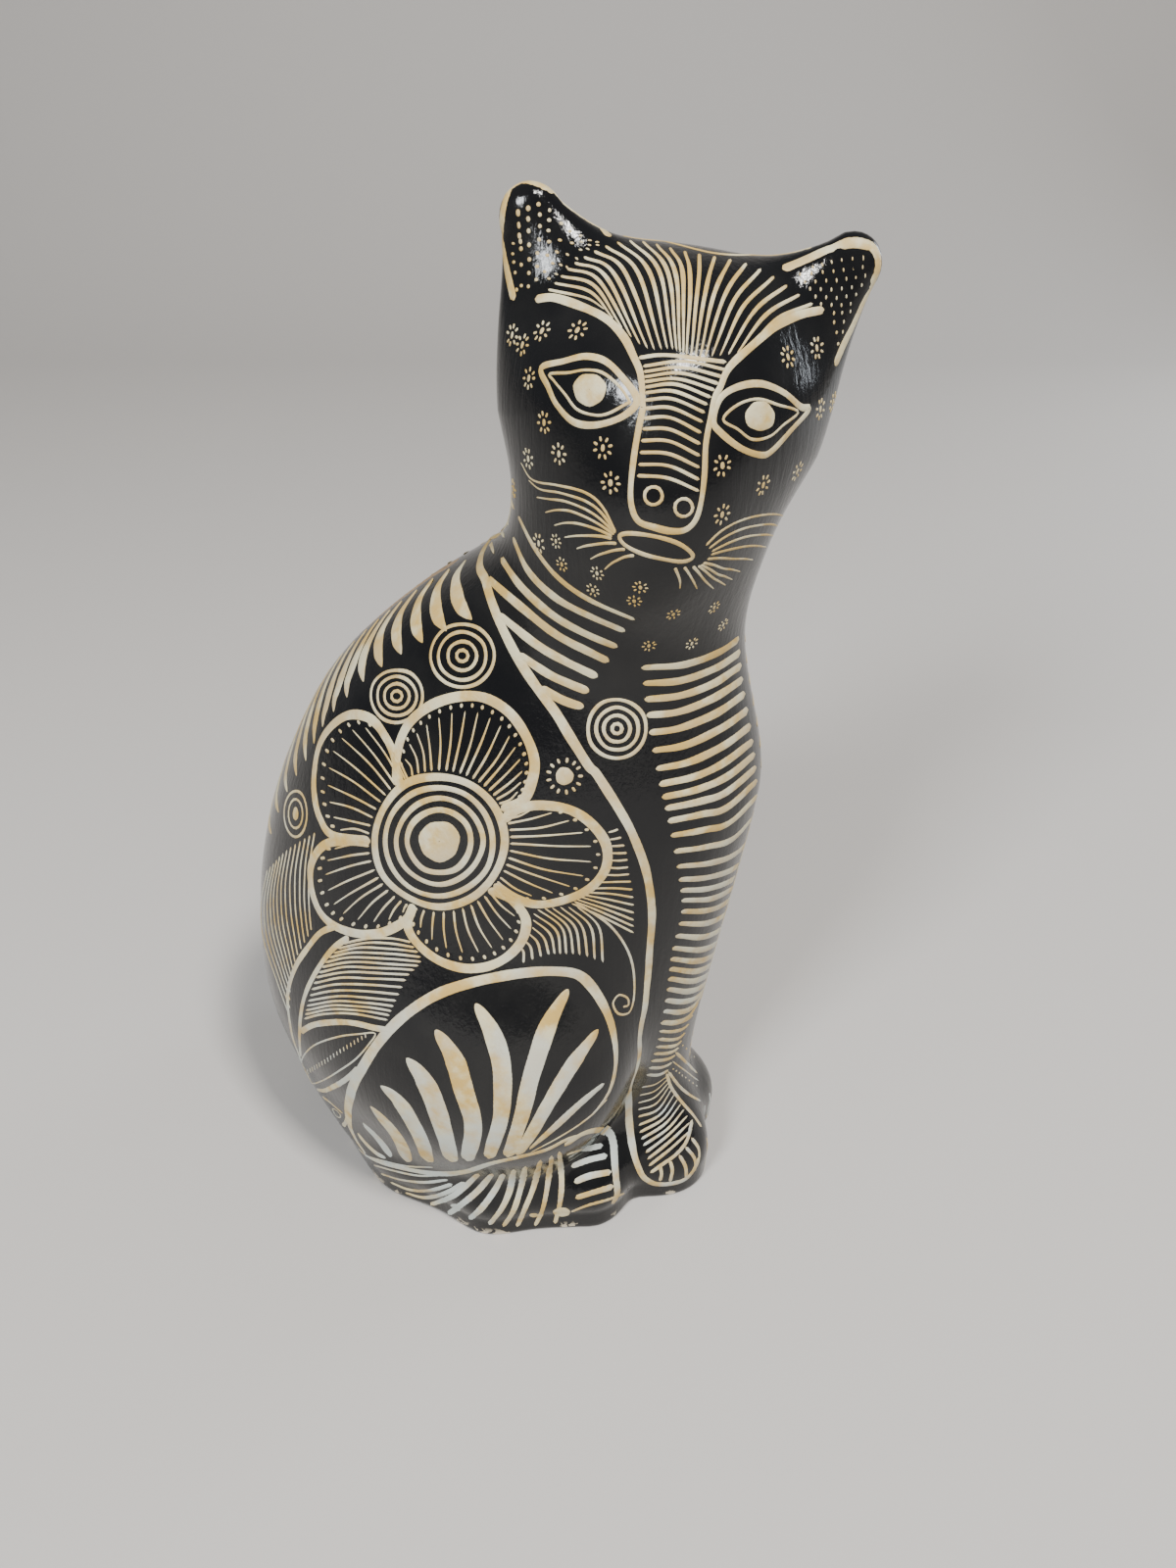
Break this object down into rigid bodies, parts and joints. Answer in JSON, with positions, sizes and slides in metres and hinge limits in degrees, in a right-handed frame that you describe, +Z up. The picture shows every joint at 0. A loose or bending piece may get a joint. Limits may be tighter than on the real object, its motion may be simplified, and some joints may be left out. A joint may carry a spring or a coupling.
{
  "type": "coin bank",
  "caption": "Seated hollow cat of glossy black fired clay with scratched cream folk patterns, its head turned aside, and a coin slot along the upper spine.",
  "frame": {"origin": "on the underside, in the middle of the trunk's width, under the chest", "axes": "+Z up, -Y the way the body faces, -X the cat's right side, to which the head is turned"},
  "size_m": [0.1396, 0.1776, 0.2995],
  "materials": {
    "clay": "gloss"
  },
  "bodies": {
    "root": {"cat_bank": "clay"}
  },
  "joints": []
}
